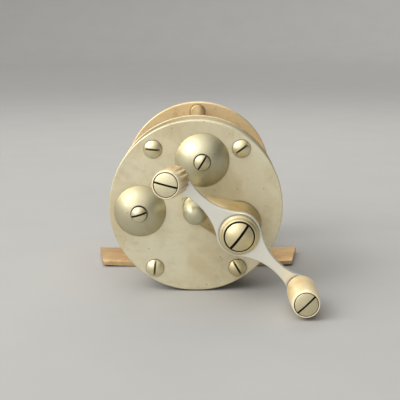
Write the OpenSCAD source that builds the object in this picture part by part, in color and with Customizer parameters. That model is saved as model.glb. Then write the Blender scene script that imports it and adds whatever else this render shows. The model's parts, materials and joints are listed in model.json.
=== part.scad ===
// Multiplying bait-casting reel with a 4:1 gear train, click, drag and a double crank.
// The reel stands on its foot: +Z is up, the spool's axis runs along Y and the crank faces -Y.
// The origin is the centre of the foot's underside. A "station" is a distance from the middle
// of the spool towards the crank side, so a station s lies at y = -s.

/* [Frame] */
// Radius of the two end plates
plate_r = 26; // [25.9:0.05:26.1]
// Height of the spool's axis above the foot's underside
axis_h = 26.1; // [26.1:0.1:27]
// Distance between the end plates, which is the pillars' length
frame_gap = 43; // [40:0.5:46]
// Depth of the head box that holds the gears
box_depth = 15; // [15:0.1:15.6]
// Thickness of the plates
plate_t = 1.6; // [1.4:0.1:1.8]
// Depth of the tail plate over its raised rim
tail_depth = 3.8; // [3.4:0.1:4.2]
// Radius of the circle that the pillars stand on
pillar_circle_r = 22.6; // [22.4:0.1:22.8]
// Radius of a pillar's shank
pillar_r = 2.2; // [1.8:0.1:2.3]

/* [Foot] */
// Length of the foot from tip to tip
foot_l = 69.5; // [62:0.5:74]
// Width of the foot
foot_w = 18; // [17:0.5:20]
// How much shorter the foot is at each end on the head side
foot_slant = 3; // [0:0.5:5]
// Thickness of the foot
foot_t = 2; // [1.6:0.1:2.4]

/* [Spool] */
// Radius of the spool's flanges
flange_r = 19.6; // [18:0.1:19.8]
// Thickness of the spool's flanges
flange_t = 0.9; // [0.8:0.1:1.2]
// Radius of the arbor that the line is wound on
arbor_r = 5; // [4:0.5:7]
// Radius of the spool's steel shaft
spool_shaft_r = 1.5; // [1.4:0.05:1.6]

/* [Gears] */
// Module of the gear teeth
gear_module = 0.36; // [0.36:0.01:0.36]
// Teeth on the main gear
gear_teeth = 60; // [60:1:60]
// Teeth on the pinion
pinion_teeth = 15; // [15:1:15]
// Angle of the crank's axis round the spool's axis, in degrees
crank_angle = -22.8; // [-24:0.2:-21]

/* [Crank] */
// Height of the arm's outer face above the head cover
arm_lift = 13.7; // [13.5:0.1:14.5]
// Thickness of the arm
arm_t = 1.8; // [1.6:0.1:2]
// Distance from the crank's axis to each grip's axis
arm_throw = 24.1; // [22:0.1:24.2]
// Angle of the arm at rest, in degrees
arm_angle = -42; // [-43:0.5:-30]
// Radius of the arm's round hub
arm_hub_r = 6.35; // [6.2:0.05:6.6]
// Radius of the arm's round ends
arm_end_r = 4.2; // [4:0.05:4.3]
// Radius of the concave sides of the arm
arm_side_r = 18.3; // [17:0.1:20]
// Length of a grip
grip_l = 15; // [13:0.5:16]
// Largest radius of a grip
grip_r = 4.25; // [4:0.05:4.3]
// Outward lean of the upper grip, whose post is bent with use, in degrees
upper_lean = 9; // [0:0.5:9]

/* [Domes] */
// Radius of the click's dome
click_dome_r = 7.8; // [7.4:0.1:8]
// Radius of the drag's dome
drag_dome_r = 8.05; // [7.6:0.05:8.2]
// Height of the domes
dome_h = 4.5; // [4:0.1:5]
// Radius of the adjusters' slotted heads
adjuster_r = 2.2; // [2:0.05:2.3]

/* [Hidden] */
$fn = 96;

fit = 0.05;          // radial clearance of a shaft that turns in its hole
cut = 0.5;           // how far a cutter runs past the face it cuts

// Stations of the frame
gap_end = frame_gap / 2;
plate_front = gap_end + plate_t;
cover_face = gap_end + box_depth;
cover_back = cover_face - plate_t;
rim_back = cover_face - 3.5;
tail_front = -gap_end;
tail_back = -gap_end - tail_depth;
tail_floor = tail_front - 1.8;
ring_outer_r = plate_r - 0.2;
ring_inner_r = plate_r - 1;
rim_inner_r = plate_r - 1.1;

// Pillars: angles round the spool's axis
top_angle = 90;
side_angles = [162, 18];
foot_angles = [236.4, 303.6];

// Cover screws and the screw size shared by the frame
upper_screw = [13.1, 17.5];
// How far the upper pair sits to the right of the middle
screw_shift = 0.5;
screw_r = 1.15;
cover_head_r = 2.6;
cover_head_h = 1.5;
post_r = 1.8;
pillar_thread = 6;

// Spool and gear stations
flange_out = gap_end - 0.9;
flange_in = flange_out - flange_t;
pivot_r = 1;
ratchet_s = plate_front + 1.5;
ratchet_t = 1.4;
ratchet_r = 3.4;
ratchet_teeth = 12;
pinion_s = plate_front + 4.1;
pinion_l = 4.4;
gear_s = plate_front + 4.9;
gear_t = 2.8;
centre_distance = gear_module * (gear_teeth + pinion_teeth) / 2;
crank_x = centre_distance * cos(crank_angle);
crank_up = centre_distance * sin(crank_angle);

// Crank stations
arm_out = cover_face + arm_lift;
arm_in = arm_out - arm_t;
crank_shaft_r = 2;
crank_pivot_r = 1.2;
crank_bush_r = 3.1;
square_w = 2.6;
boss_r = 7.05;
boss_h = 9.8;
collar_r = 5.75;
collar_h = 2.9;
crank_screw_r = 4.05;

// Grips
grip_post_r = 1.3;
grip_screw_r = 3.35;
grip_screw_t = 1.7;
bend_h = 0.25;       // height above the arm at which a post may bend
lean_dir = 152;      // direction in which the upper post leans
lean_gap = 0.5;      // how much further out the leaning grip starts
upper_angle = arm_angle + 180;

// Click and drag
click_x = -16.7;
click_up = -1.2;
drag_x = 2;
drag_up = 14.1;
stem_r = 1.5;
click_rest = -14;    // angle of the pawl at rest, turned clear of the ratchet
pawl_t = 1;
plunger_r = 1.6;
drag_travel = 0.8;
pad_t = 1.2;

// Foot
saddle_w = 6.4;
saddle_l = 15;
foot_screw_s = 4.5;
foot_screw_r = 1;
foot_head_r = 2;

silver = [0.76, 0.73, 0.62];
pale = [0.84, 0.84, 0.82];
brassy = [0.78, 0.73, 0.55];
peach = [0.82, 0.72, 0.56];
steel = [0.55, 0.56, 0.58];
ivory = [0.94, 0.86, 0.66];
hide = [0.45, 0.27, 0.15];

// ---------- helpers ----------

// Puts children at (x, up) from the spool's axis, with their +Z towards the crank side
module at_axis(x = 0, up = 0, s = 0) {
    translate([x, -s, axis_h + up])
        rotate([90, 0, 0])
            children();
}

// The same, turned round so that the children's +Z points to the tail side
module at_tail(x = 0, up = 0, s = 0) {
    at_axis(x, up, s)
        rotate([180, 0, 0])
            children();
}

module at_crank(s = 0) {
    at_axis(crank_x, crank_up, s)
        children();
}

// Puts children at one end of the arm
module at_arm_end(angle, s) {
    at_axis(crank_x + arm_throw * cos(angle), crank_up + arm_throw * sin(angle), s)
        children();
}

// Puts children at a grip's inner end, on its post's own axis
module at_grip(angle, lean) {
    at_arm_end(angle, arm_out + bend_h)
        rotate(a = lean, v = [-sin(lean_dir), cos(lean_dir), 0])
            translate([0, 0, lean > 0 ? lean_gap : 0])
                children();
}

module at_pillar(angle, s = 0) {
    at_axis(pillar_circle_r * cos(angle), pillar_circle_r * sin(angle), s)
        children();
}

// A cylinder between two heights
module rod(r, z0, z1) {
    translate([0, 0, z0])
        cylinder(r = r, h = z1 - z0);
}

// A cutter that runs past both ends of the same cylinder
module hole(r, z0, z1) {
    rod(r, z0 - cut, z1 + cut);
}

module turned(outline) {
    rotate_extrude()
        polygon(outline);
}

// A spherical cap of base radius r and height h, on z = 0
module cap(r, h) {
    ball = (r * r + h * h) / (2 * h);
    intersection() {
        translate([0, 0, h - ball])
            sphere(r = ball);
        rod(r + 1, 0, h + 1);
    }
}

module slot_cutter(r, z, depth, width, angle) {
    rotate([0, 0, angle])
        translate([-r - 1, -width / 2, z - depth])
            cube([2 * r + 2, width, depth + 2]);
}

// A screw with a domed, slotted head: the head's seat is z = 0 and the shank runs down
module domed_screw(head_r, head_h, shank_r, shank_l, angle, slot_w = 0.6) {
    side = head_h * 0.35;
    difference() {
        union() {
            rod(head_r, 0, side);
            translate([0, 0, side])
                cap(head_r, head_h - side);
            rod(shank_r, -shank_l, 0.1);
        }
        slot_cutter(head_r, head_h, head_h * 0.62, slot_w, angle);
    }
}

// Half the angle that a tooth takes up at radius r, for an involute of base radius rb
function involute_angle(r, rb) = let (c = sqrt(max(0, pow(r / rb, 2) - 1))) c * 180 / PI - atan(c);
function tooth_half(r, rb, rp, half) = half + involute_angle(rp, rb) - involute_angle(max(r, rb), rb);

// Points of a spur gear with involute flanks, starting with a tooth centred on angle 0
function gear_points(teeth, m, backlash) =
    let (
        rp = m * teeth / 2,
        rb = rp * cos(20),
        outer = rp + m * 0.94,
        root = rp - m * 1.2,
        half = 90 / teeth - backlash / rp * 90 / PI,
        radii = [root, max(root + 0.02, rb), rp - m * 0.3, rp + m * 0.3, outer]
    )
    [
        for (i = [0:teeth - 1])
            for (side = [-1, 1])
                for (k = [0:len(radii) - 1])
                    let (
                        r = side < 0 ? radii[k] : radii[len(radii) - 1 - k],
                        a = 360 * i / teeth + side * tooth_half(r, rb, rp, half)
                    )
                    [r * cos(a), r * sin(a)]
    ];

// ---------- head box ----------

module head_cover() {
    bevel = 0.4;
    color(silver)
        difference() {
            at_axis(0, 0, 0)
                turned([
                    [0, cover_back], [rim_inner_r, cover_back], [rim_inner_r, rim_back],
                    [plate_r, rim_back], [plate_r, cover_face - bevel],
                    [plate_r - bevel, cover_face], [0, cover_face]
                ]);
            for (side = [-1, 1])
                at_axis(side * upper_screw[0] + screw_shift, upper_screw[1])
                    hole(screw_r + fit, cover_back, cover_face);
            for (angle = foot_angles)
                at_pillar(angle)
                    hole(screw_r + fit, cover_back, cover_face);
            at_axis()
                hole(2.6, cover_back, cover_face);
            at_crank()
                hole(crank_bush_r, cover_back, cover_face);
            at_axis(click_x, click_up)
                hole(stem_r + fit, cover_back, cover_face);
            at_axis(drag_x, drag_up)
                hole(stem_r + fit, cover_back, cover_face);
        }
}

// The raised bearing housing: a bell round the crank's bush with a ridge to the spool's bearing
module crank_boss() {
    color(brassy)
        difference() {
            union() {
                at_crank(cover_face)
                    turned([
                        [0, 0], [boss_r, 0], [boss_r - 0.15, 1.2], [boss_r - 0.5, 3],
                        [boss_r - 0.95, 5.5], [boss_r - 1.25, 8], [boss_r - 1.5, boss_h - 0.5],
                        [boss_r - 2, boss_h], [0, boss_h]
                    ]);
                hull() {
                    at_crank(cover_face)
                        cylinder(r = boss_r - 0.02, h = 1, $fn = 48);
                    at_crank(cover_face)
                        cylinder(r = boss_r - 1.4, h = 7.2, $fn = 48);
                    at_axis(0, 0, cover_face)
                        cylinder(r = 3.6, h = 1.2, $fn = 32);
                }
            }
            at_crank(cover_face)
                hole(crank_bush_r, 0, boss_h);
            at_axis(0, 0, cover_face)
                hole(4.1, 0, boss_h);
        }
}

module head_ring() {
    groove = 0.5;
    color(silver)
        at_axis()
            turned([
                [ring_inner_r, plate_front], [ring_outer_r, plate_front],
                [ring_outer_r, rim_back - groove], [ring_outer_r - 0.45, rim_back - groove],
                [ring_outer_r - 0.45, rim_back], [ring_inner_r, rim_back]
            ]);
}

module gear_plate() {
    color(peach)
        difference() {
            at_axis()
                rod(plate_r, gap_end, plate_front);
            for (angle = concat([top_angle], side_angles, foot_angles))
                at_pillar(angle)
                    hole(screw_r + fit, gap_end, plate_front);
            at_axis()
                hole(2.4, gap_end, plate_front);
            at_crank()
                hole(2.2, gap_end, plate_front);
            at_axis(drag_x, drag_up)
                hole(plunger_r + fit, gap_end, plate_front);
        }
}

module standoffs() {
    color(silver)
        for (side = [-1, 1])
            at_axis(side * upper_screw[0] + screw_shift, upper_screw[1])
                difference() {
                    rod(post_r, plate_front, cover_back);
                    rod(screw_r + fit, cover_back - 7, cover_back + cut);
                }
}

module spacer_sleeves() {
    color(silver)
        for (angle = foot_angles)
            at_pillar(angle)
                difference() {
                    rod(post_r, plate_front, cover_back);
                    hole(screw_r + fit, plate_front, cover_back);
                }
}

module cover_screws() {
    long_shank = cover_face - gap_end + pillar_thread - 1;
    color(brassy) {
        at_axis(screw_shift - upper_screw[0], upper_screw[1], cover_face)
            domed_screw(cover_head_r, cover_head_h, screw_r, 7, -5);
        at_axis(screw_shift + upper_screw[0], upper_screw[1], cover_face)
            domed_screw(cover_head_r, cover_head_h, screw_r, 7, 37);
        at_pillar(foot_angles[0], cover_face)
            domed_screw(cover_head_r, cover_head_h, screw_r, long_shank, 84);
        at_pillar(foot_angles[1], cover_face)
            domed_screw(cover_head_r, cover_head_h, screw_r, long_shank, -59);
    }
}

// ---------- pillars ----------

// A turned pillar with a bead near each end, centred on z = 0
module pillar_shape() {
    bead = pillar_r + 0.35;
    end = gap_end;
    difference() {
        turned([
            [0, -end], [bead, -end], [bead, 1 - end], [pillar_r - 0.3, 1.6 - end],
            [pillar_r - 0.3, 2.2 - end], [pillar_r, 3 - end], [pillar_r, end - 3],
            [pillar_r - 0.3, end - 2.2], [pillar_r - 0.3, end - 1.6], [bead, end - 1],
            [bead, end], [0, end]
        ]);
        rod(screw_r + fit, end - pillar_thread, end + cut);
        rod(screw_r + fit, -end - cut, pillar_thread - end);
    }
}

module pillar(angle) {
    color(peach)
        at_pillar(angle)
            pillar_shape();
}

// A lower pillar, drilled from below for the foot's screws
module foot_pillar(angle) {
    color(peach)
        difference() {
            at_pillar(angle)
                pillar_shape();
            for (s = [-foot_screw_s, foot_screw_s])
                translate([pillar_circle_r * cos(angle), s, 0])
                    rod(foot_screw_r + fit, 0, axis_h + pillar_circle_r * sin(angle));
        }
}

module pillar_top() {
    pillar(top_angle);
}

module pillar_left() {
    pillar(side_angles[0]);
}

module pillar_right() {
    pillar(side_angles[1]);
}

module foot_pillar_left() {
    foot_pillar(foot_angles[0]);
}

module foot_pillar_right() {
    foot_pillar(foot_angles[1]);
}

module head_pillar_screws() {
    color(steel)
        for (angle = concat([top_angle], side_angles))
            at_pillar(angle, plate_front)
                domed_screw(1.9, 0.9, screw_r, plate_t + pillar_thread - 1, 30 + angle);
}

// ---------- tail ----------

module tail_plate() {
    boss = 5.5;
    color(peach)
        difference() {
            at_axis()
                turned([
                    [0, tail_front], [plate_r, tail_front], [plate_r, tail_back + 0.4],
                    [plate_r - 0.4, tail_back], [rim_inner_r, tail_back],
                    [rim_inner_r, tail_floor], [boss, tail_floor], [boss - 0.6, tail_back],
                    [0, tail_back]
                ]);
            for (angle = concat([top_angle], side_angles, foot_angles))
                at_pillar(angle)
                    hole(screw_r + fit, tail_back, tail_front);
            at_axis()
                hole(2.4, tail_back, tail_front);
        }
}

module tail_screws() {
    turns = [20, 75, 140, 100, 160];
    angles = concat([top_angle], side_angles, foot_angles);
    color(brassy)
        for (i = [0:4])
            at_tail(
                pillar_circle_r * cos(angles[i]), pillar_circle_r * sin(angles[i]), tail_floor
            )
                domed_screw(1.9, 1.2, screw_r, 1.8 + pillar_thread - 1, turns[i]);
}

// ---------- foot ----------

// The foot seen from above: its ends slant, so the head side is shorter
module foot_outline() {
    corner = 1;
    half_w = foot_w / 2;
    head_x = foot_l / 2 - foot_slant;
    tail_x = foot_l / 2;
    bend = foot_slant * corner / foot_w;
    polygon([
        [-head_x + corner, -half_w], [head_x - corner, -half_w],
        [head_x + bend, -half_w + corner], [tail_x - bend, half_w - corner],
        [tail_x - corner, half_w], [-tail_x + corner, half_w],
        [-tail_x + bend, half_w - corner], [-head_x - bend, -half_w + corner]
    ]);
}

// The foot's bar: bevelled along its top edges, with tips that turn up a little
module foot_bar() {
    half_w = foot_w / 2;
    half_l = foot_l / 2;
    bevel_w = 1.4;
    bevel_h = 0.7;
    relief_h = 1;
    rise = 0.5;
    top = foot_t + rise;
    bend_x = half_l - 14;
    intersection() {
        linear_extrude(top)
            foot_outline();
        rotate([90, 0, 90])
            linear_extrude(foot_l, center = true)
                polygon([
                    [-half_w, 0], [half_w, 0], [half_w, top - bevel_h],
                    [half_w - bevel_w, top], [-half_w + bevel_w, top],
                    [-half_w, top - bevel_h]
                ]);
        rotate([90, 0, 0])
            linear_extrude(foot_w, center = true)
                polygon([
                    [-half_l, relief_h], [-bend_x, 0], [bend_x, 0], [half_l, relief_h],
                    [half_l, top], [bend_x, foot_t], [-bend_x, foot_t], [-half_l, top]
                ]);
    }
}

module reel_foot() {
    color(peach)
        difference() {
            foot_bar();
            for (angle = foot_angles)
                for (s = [-foot_screw_s, foot_screw_s])
                    translate([pillar_circle_r * cos(angle), s, 0]) {
                        hole(foot_screw_r + fit, 0, foot_t);
                        cylinder(r1 = foot_head_r + fit, r2 = foot_screw_r + fit, h = 1.1);
                    }
        }
}

// A block that beds a lower pillar on the foot
module foot_saddle(angle) {
    x = pillar_circle_r * cos(angle);
    pillar_h = axis_h + pillar_circle_r * sin(angle);
    color(peach)
        difference() {
            translate([x - saddle_w / 2, -saddle_l / 2, foot_t])
                cube([saddle_w, saddle_l, pillar_h - foot_t - 0.6]);
            at_pillar(angle)
                rod(pillar_r, -saddle_l, saddle_l);
            for (s = [-foot_screw_s, foot_screw_s])
                translate([x, s, 0])
                    rod(foot_screw_r + fit, 0, pillar_h);
        }
}

module foot_saddle_left() {
    foot_saddle(foot_angles[0]);
}

module foot_saddle_right() {
    foot_saddle(foot_angles[1]);
}

module foot_screws() {
    depth = axis_h + pillar_circle_r * sin(foot_angles[0]) - 0.4;
    color(steel)
        for (angle = foot_angles)
            for (s = [-foot_screw_s, foot_screw_s])
                translate([pillar_circle_r * cos(angle), s, 0])
                    difference() {
                        union() {
                            cylinder(r1 = foot_head_r, r2 = foot_screw_r, h = 1.05);
                            rod(foot_screw_r, 0, depth);
                        }
                        translate([-3, -0.25, -1])
                            cube([6, 0.5, 1.5]);
                    }
}

// ---------- bearings ----------

// The front bush of the spool's shaft, with an outer neck for its cap
module head_bearing() {
    color(brassy)
        difference() {
            at_axis()
                union() {
                    rod(2.6, cover_back, cover_face + 2.3);
                    rod(3.5, cover_back - 1, cover_back);
                }
            at_axis()
                hole(pivot_r + fit, cover_back - 1, cover_face + 2.3);
        }
}

module gear_plate_bearing() {
    color(brassy)
        difference() {
            at_axis()
                union() {
                    rod(2.4, gap_end - 0.3, plate_front);
                    rod(3.4, plate_front, plate_front + 0.8);
                }
            at_axis()
                hole(spool_shaft_r + fit, gap_end - 0.3, plate_front + 0.8);
        }
}

module tail_bearing() {
    color(brassy)
        difference() {
            at_axis()
                rod(2.4, tail_back - 2.2, tail_front + 0.3);
            at_axis()
                hole(pivot_r + fit, tail_back - 2.2, tail_front + 0.3);
        }
}

module crank_bush() {
    top = cover_face + boss_h;
    color(brassy)
        difference() {
            at_crank()
                union() {
                    rod(crank_bush_r, cover_back - 0.6, top);
                    rod(4.3, top, top + 1.5);
                }
            at_crank()
                hole(crank_shaft_r + fit, cover_back - 0.6, top + 1.5);
        }
}

module crank_pivot_bush() {
    color(brassy)
        difference() {
            at_crank()
                union() {
                    rod(2.2, gap_end, plate_front);
                    rod(3, plate_front, plate_front + 1);
                }
            at_crank()
                hole(crank_pivot_r + fit, gap_end, plate_front + 1);
        }
}

// A ball-topped oil cap on the front bush
module head_bearing_cap() {
    ball_r = 3.7;
    ball_s = 7.8;
    color(silver)
        at_axis(0, 0, cover_face)
            difference() {
                union() {
                    turned([
                        [0, 0.1], [3.7, 0.1], [3.7, 0.8], [3.35, 1.3], [3.1, 2.4], [3.1, 4.9],
                        [3.3, 5.8], [0, 5.8]
                    ]);
                    translate([0, 0, ball_s])
                        sphere(r = ball_r);
                }
                rod(2.6 + fit, -cut, 2.8);
            }
}

// A domed oil cap on the tail bush
module tail_bearing_cap() {
    color(silver)
        at_tail(0, 0, tail_back)
            difference() {
                union() {
                    rod(4.4, 0.1, 1.4);
                    translate([0, 0, 1.4])
                        cap(4.4, 2.8);
                }
                rod(2.4 + fit, -cut, 2.6);
                slot_cutter(4.4, 4.2, 0.9, 0.8, 25);
            }
}

// ---------- click ----------

// A dome with a countersunk well for the adjuster's head
module adjuster_dome(r) {
    difference() {
        cap(r, dome_h);
        hole(stem_r + fit, 0, dome_h);
        rod(adjuster_r + 0.35, dome_h - 0.9, dome_h + cut);
    }
}

// An adjuster: slotted head on a stem that reaches down to station s
module adjuster(s, angle) {
    seat = cover_face + dome_h - 0.7;
    translate([0, 0, seat])
        domed_screw(adjuster_r, 2.4, stem_r, seat - s, angle);
}

module click_dome() {
    color(silver)
        at_axis(click_x, click_up, cover_face)
            adjuster_dome(click_dome_r);
}

module click_screw() {
    color(silver)
        at_axis(click_x, click_up)
            adjuster(plate_front + 0.5, 17);
}

// The pawl's arm, turned clear of the ratchet at rest
module click_pawl() {
    reach = -click_x - ratchet_r - 0.15;
    color(steel)
        at_axis(click_x, click_up, ratchet_s + 0.2)
            rotate([0, 0, click_rest + atan2(-click_up, -click_x)])
                difference() {
                    linear_extrude(pawl_t) {
                        circle(r = 2.8);
                        polygon([
                            [0, -1.3], [reach - 1.6, -0.7], [reach, -0.1], [reach, 0.1],
                            [reach - 1.6, 0.7], [0, 1.3]
                        ]);
                    }
                    hole(stem_r, 0, pawl_t);
                }
}

// A leaf spring that steadies the pawl, held by a post on the gear plate
module click_spring() {
    color(steel)
        at_axis(click_x, click_up - 9.5, plate_front)
            union() {
                rod(1.1, 0, 3.4);
                rotate([0, 0, 36])
                    translate([0, -0.2, 1.7])
                        cube([10.4, 0.4, 1.2]);
            }
}

// ---------- drag ----------

module drag_dome() {
    color(silver)
        at_axis(drag_x, drag_up, cover_face)
            adjuster_dome(drag_dome_r);
}

module drag_screw() {
    color(silver)
        at_axis(drag_x, drag_up)
            adjuster(plate_front + 3.6, 58);
}

module drag_plunger() {
    color(steel)
        at_axis(drag_x, drag_up)
            union() {
                rod(plunger_r, gap_end + pad_t, plate_front + 3.4);
                rod(3, plate_front + 1.5, plate_front + 2.3);
            }
}

module drag_pad() {
    color(hide)
        at_axis(drag_x, drag_up)
            rod(plunger_r, gap_end, gap_end + pad_t);
}

module drag_spring() {
    color(steel)
        at_axis(drag_x, drag_up)
            difference() {
                rod(2.9, plate_front, plate_front + 0.3);
                hole(2, plate_front, plate_front + 0.3);
            }
}

// ---------- spool ----------

module spool_arbor() {
    color(silver)
        at_axis()
            difference() {
                turned([
                    [0, -flange_in], [arbor_r + 1.2, -flange_in], [arbor_r, -flange_in + 1.2],
                    [arbor_r, flange_in - 1.2], [arbor_r + 1.2, flange_in], [0, flange_in]
                ]);
                hole(spool_shaft_r, -flange_in, flange_in);
            }
}

// A thin dished flange with a rounded outer edge, from z = 0 outwards
module spool_flange() {
    difference() {
        turned([
            [0, 0], [flange_r - 0.3, 0], [flange_r, 0.25], [flange_r, flange_t - 0.25],
            [flange_r - 0.3, flange_t], [0, flange_t]
        ]);
        hole(spool_shaft_r, 0, flange_t);
    }
}

module head_flange() {
    color(silver)
        at_axis(0, 0, flange_in)
            spool_flange();
}

module tail_flange() {
    color(silver)
        at_tail(0, 0, -flange_in)
            spool_flange();
}

module spool_shaft() {
    color(steel)
        at_axis()
            union() {
                rod(spool_shaft_r, tail_front + 0.5, cover_back - 1.2);
                rod(pivot_r, tail_back - 1.9, tail_front + 0.5);
                rod(pivot_r, cover_back - 1.2, cover_face + 2.1);
            }
}

module pinion() {
    color(brassy)
        at_axis(0, 0, pinion_s)
            rotate([0, 0, crank_angle + 180 / pinion_teeth])
                difference() {
                    linear_extrude(pinion_l)
                        polygon(gear_points(pinion_teeth, gear_module, 0.06));
                    hole(spool_shaft_r, 0, pinion_l);
                }
}

module ratchet_wheel() {
    tip = ratchet_r;
    root = ratchet_r - 0.7;
    color(steel)
        at_axis(0, 0, ratchet_s)
            difference() {
                linear_extrude(ratchet_t)
                    polygon([
                        for (i = [0:ratchet_teeth * 2 - 1])
                            let (a = 180 * i / ratchet_teeth, r = i % 2 == 0 ? tip : root)
                            [r * cos(a), r * sin(a)]
                    ]);
                hole(spool_shaft_r, 0, ratchet_t);
            }
}

// ---------- crank ----------

module crank_shaft() {
    color(steel)
        difference() {
            at_crank()
                union() {
                    rod(crank_pivot_r, gap_end + 0.2, plate_front + 1.5);
                    rod(crank_shaft_r, plate_front + 1.3, arm_in);
                    rotate([0, 0, arm_angle])
                        translate([-square_w / 2, -square_w / 2, arm_in - 1])
                            cube([square_w, square_w, arm_t + 1]);
                }
            at_crank()
                rod(0.85, arm_out - 6, arm_out + cut);
        }
}

module main_gear() {
    hub_r = 4;
    color(brassy)
        difference() {
            at_crank(gear_s)
                rotate([0, 0, crank_angle + 180])
                    difference() {
                        linear_extrude(gear_t)
                            polygon(gear_points(gear_teeth, gear_module, 0.06));
                        difference() {
                            rod(9.2, gear_t - 0.8, gear_t + cut);
                            rod(hub_r, 0, gear_t + 1);
                        }
                    }
            at_crank(gear_s)
                hole(crank_shaft_r, 0, gear_t);
        }
}

// The arm along X: a round hub and two round ends joined by concave sides
module arm_shape() {
    hub = arm_hub_r + arm_side_r;
    end = arm_end_r + arm_side_r;
    side_x = (hub * hub - end * end + arm_throw * arm_throw) / (2 * arm_throw);
    side_y = sqrt(hub * hub - side_x * side_x);
    inset = 0.97;   // keeps the filling between the round parts just inside their edges
    hub_touch = inset * [side_x, side_y] * arm_hub_r / hub;
    end_touch = [arm_throw, 0] + inset * [side_x - arm_throw, side_y] * arm_end_r / end;
    rod(arm_hub_r, 0, arm_t);
    for (turn = [0, 180])
        rotate([0, 0, turn]) {
            translate([arm_throw, 0, 0])
                rod(arm_end_r, 0, arm_t);
            difference() {
                linear_extrude(arm_t)
                    polygon([
                        [0, hub_touch[1]], hub_touch, end_touch, [arm_throw, end_touch[1]],
                        [arm_throw, -end_touch[1]], [end_touch[0], -end_touch[1]],
                        [hub_touch[0], -hub_touch[1]], [0, -hub_touch[1]]
                    ]);
                for (side = [-1, 1])
                    translate([side_x, side * side_y, 0])
                        hole(arm_side_r, 0, arm_t);
            }
        }
}

module crank_arm() {
    color(pale)
        at_crank(arm_in)
            rotate([0, 0, arm_angle])
                difference() {
                    arm_shape();
                    translate([-square_w / 2, -square_w / 2, -cut])
                        cube([square_w, square_w, arm_t + 2 * cut]);
                    for (side = [-1, 1])
                        translate([side * arm_throw, 0, 0])
                            hole(grip_post_r, 0, arm_t);
                }
}

module crank_collar() {
    color(brassy)
        at_crank(arm_out)
            difference() {
                turned([
                    [0, 0], [collar_r, 0], [collar_r, 0.7], [collar_r - 0.35, 1.3],
                    [collar_r - 0.9, 1.7], [collar_r - 1, 2.3], [collar_r - 1.3, collar_h],
                    [0, collar_h]
                ]);
                hole(0.85, 0, collar_h);
                rod(crank_screw_r + 0.08, collar_h - 0.8, collar_h + cut);
            }
}

module crank_screw() {
    seat = arm_out + collar_h - 0.8;
    color(brassy)
        at_crank(seat)
            domed_screw(crank_screw_r, 2.5, 0.8, seat - arm_out + 5, 53, 0.85);
}

// A post riveted in the arm, with a shoulder from which it may lean
module grip_post(angle, lean) {
    top = grip_l - grip_screw_t;
    shoulder_h = lean > 0 ? 0.4 : 0.15;
    color(steel)
        difference() {
            union() {
                at_arm_end(angle, arm_in)
                    rod(grip_post_r, 0, arm_t);
                at_arm_end(angle, arm_out)
                    rod(1.8, 0, shoulder_h);
                at_grip(angle, lean)
                    rod(grip_post_r, lean > 0 ? -lean_gap : 0.05 - bend_h, top);
            }
            at_grip(angle, lean)
                rod(0.75, top - 5, top + cut);
        }
}

module upper_grip_post() {
    grip_post(upper_angle, upper_lean);
}

module lower_grip_post() {
    grip_post(arm_angle, 0);
}

// A barrel-shaped grip with a well in its end for the flush screw
module grip() {
    color(ivory)
        difference() {
            turned([
                [0, 0], [grip_r - 0.3, 0], [grip_r - 0.1, 0.3], [grip_r, 1.6],
                [grip_r, grip_l * 0.35], [grip_r - 0.06, grip_l * 0.55],
                [grip_r - 0.16, grip_l * 0.75], [grip_r - 0.3, grip_l * 0.92],
                [grip_r - 0.45, grip_l - 0.2], [grip_r - 0.6, grip_l], [0, grip_l]
            ]);
            hole(grip_post_r + fit, 0, grip_l);
            rod(grip_screw_r + 0.08, grip_l - grip_screw_t - 0.1, grip_l + cut);
        }
}

module upper_grip() {
    at_grip(upper_angle, upper_lean)
        grip();
}

module lower_grip() {
    at_grip(arm_angle, 0)
        grip();
}

module grip_screw(slot_angle) {
    color(pale)
        difference() {
            union() {
                rod(grip_screw_r, 0, grip_screw_t);
                translate([0, 0, grip_screw_t])
                    cap(grip_screw_r - 0.12, 0.4);
                rod(0.7, -4.5, 0.1);
            }
            slot_cutter(grip_screw_r, grip_screw_t + 0.4, 1, 0.6, slot_angle);
        }
}

module upper_grip_screw() {
    at_grip(upper_angle, upper_lean)
        translate([0, 0, grip_l - grip_screw_t])
            grip_screw(-14);
}

module lower_grip_screw() {
    at_grip(arm_angle, 0)
        translate([0, 0, grip_l - grip_screw_t])
            grip_screw(44);
}

// ---------- drawing ----------

head_cover();
crank_boss();
head_ring();
gear_plate();
standoffs();
spacer_sleeves();
cover_screws();
pillar_top();
pillar_left();
pillar_right();
foot_pillar_left();
foot_pillar_right();
head_pillar_screws();
tail_plate();
tail_screws();
reel_foot();
foot_saddle_left();
foot_saddle_right();
foot_screws();
head_bearing();
gear_plate_bearing();
tail_bearing();
crank_bush();
crank_pivot_bush();
click_dome();
click_spring();
drag_dome();
drag_spring();
head_bearing_cap();
tail_bearing_cap();
click_screw();
click_pawl();
drag_screw();
drag_plunger();
drag_pad();
spool_arbor();
head_flange();
tail_flange();
spool_shaft();
pinion();
ratchet_wheel();
crank_shaft();
main_gear();
crank_arm();
crank_collar();
crank_screw();
upper_grip_post();
lower_grip_post();
upper_grip();
lower_grip();
upper_grip_screw();
lower_grip_screw();
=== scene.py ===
"""The looks of a multiplying bait-casting reel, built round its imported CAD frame.

Each piece is drawn in millimetres in the reel's own axes: x to the right, u up from the spool's axis
and s, the station, from the middle of the spool towards the crank. place() turns them into metres in
the row frame, where the crank faces -Y and the foot stands on z = 0.
"""
import json
import math

import bpy
from mathutils import Matrix, Vector


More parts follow.
